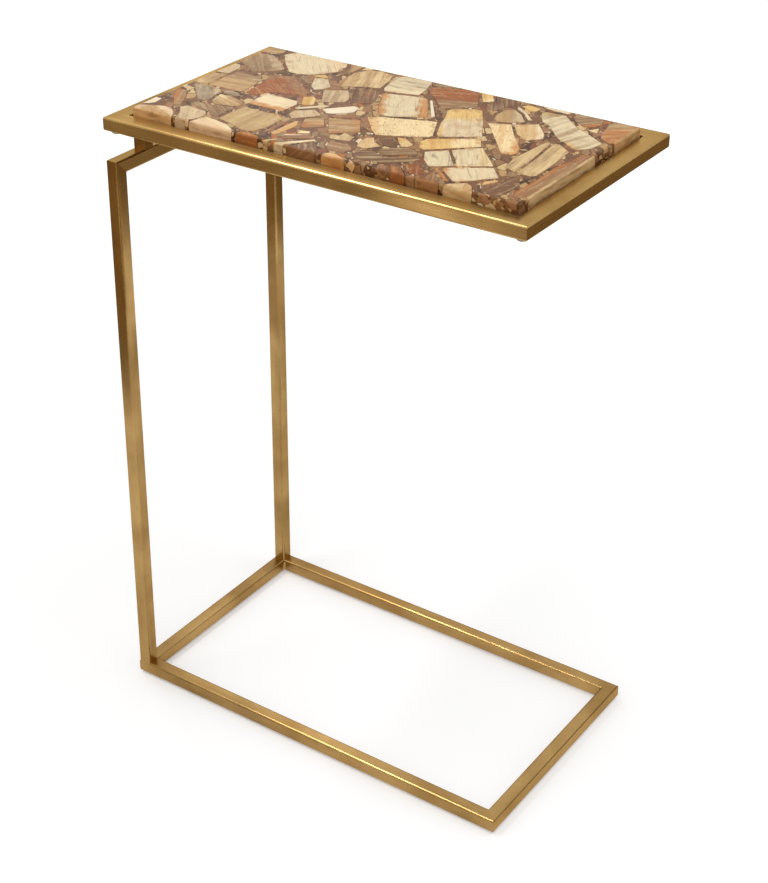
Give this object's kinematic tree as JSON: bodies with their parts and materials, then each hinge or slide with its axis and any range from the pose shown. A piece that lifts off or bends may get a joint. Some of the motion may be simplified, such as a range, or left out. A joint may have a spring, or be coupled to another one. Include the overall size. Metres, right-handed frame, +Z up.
{
  "type": "c shaped side table",
  "caption": "C-shaped side table: a brass-finished square-tube frame with a floor loop and posts at one end carries a rimmed top inlaid with petrified-wood mosaic.",
  "frame": {"origin": "on the floor, under the middle of the table top", "axes": "+Z up, +X from the posts to the open end of the C, +Y to the rear"},
  "size_m": [0.457, 0.258, 0.6505],
  "materials": {
    "antique_brass": "brushed antique brass with a light patina",
    "brown_resin": "polished brown resin with small stone crumbs",
    "cream_stone": "polished petrified wood",
    "ivory_stone": "polished petrified wood",
    "tan_stone": "polished petrified wood",
    "honey_stone": "polished petrified wood",
    "rust_stone": "polished petrified wood",
    "brown_stone": "polished petrified wood",
    "grey_stone": "polished petrified wood",
    "board": "sealed board",
    "plated_steel": "zinc plated",
    "glide_nylon": "moulded",
    "clear_bumper": "clear moulded"
  },
  "bodies": {
    "root": {"backing_board": "board", "base_front_rail": "antique_brass", "base_left_rail": "antique_brass", "base_rear_rail": "antique_brass", "base_right_rail": "antique_brass", "bumper_front_left": "clear_bumper", "bumper_front_right": "clear_bumper", "bumper_rear_left": "clear_bumper", "bumper_rear_right": "clear_bumper", "chips_brown": "brown_stone", "chips_cream": "cream_stone", "chips_grey": "grey_stone", "chips_honey": "honey_stone", "chips_ivory": "ivory_stone", "chips_rust": "rust_stone", "chips_tan": "tan_stone", "front_spacer": "antique_brass", "front_upright": "antique_brass", "glide_front_left": "glide_nylon", "glide_front_right": "glide_nylon", "glide_rear_left": "glide_nylon", "glide_rear_right": "glide_nylon", "left_strap": "antique_brass", "middle_strap": "antique_brass", "rear_spacer": "antique_brass", "rear_upright": "antique_brass", "resin_bed": "brown_resin", "right_strap": "antique_brass", "top_bolts": "plated_steel", "top_cross_rail": "antique_brass", "top_front_rail": "antique_brass", "top_left_rail": "antique_brass", "top_rear_rail": "antique_brass", "top_right_rail": "antique_brass", "weld_nuts": "plated_steel"}
  },
  "joints": []
}
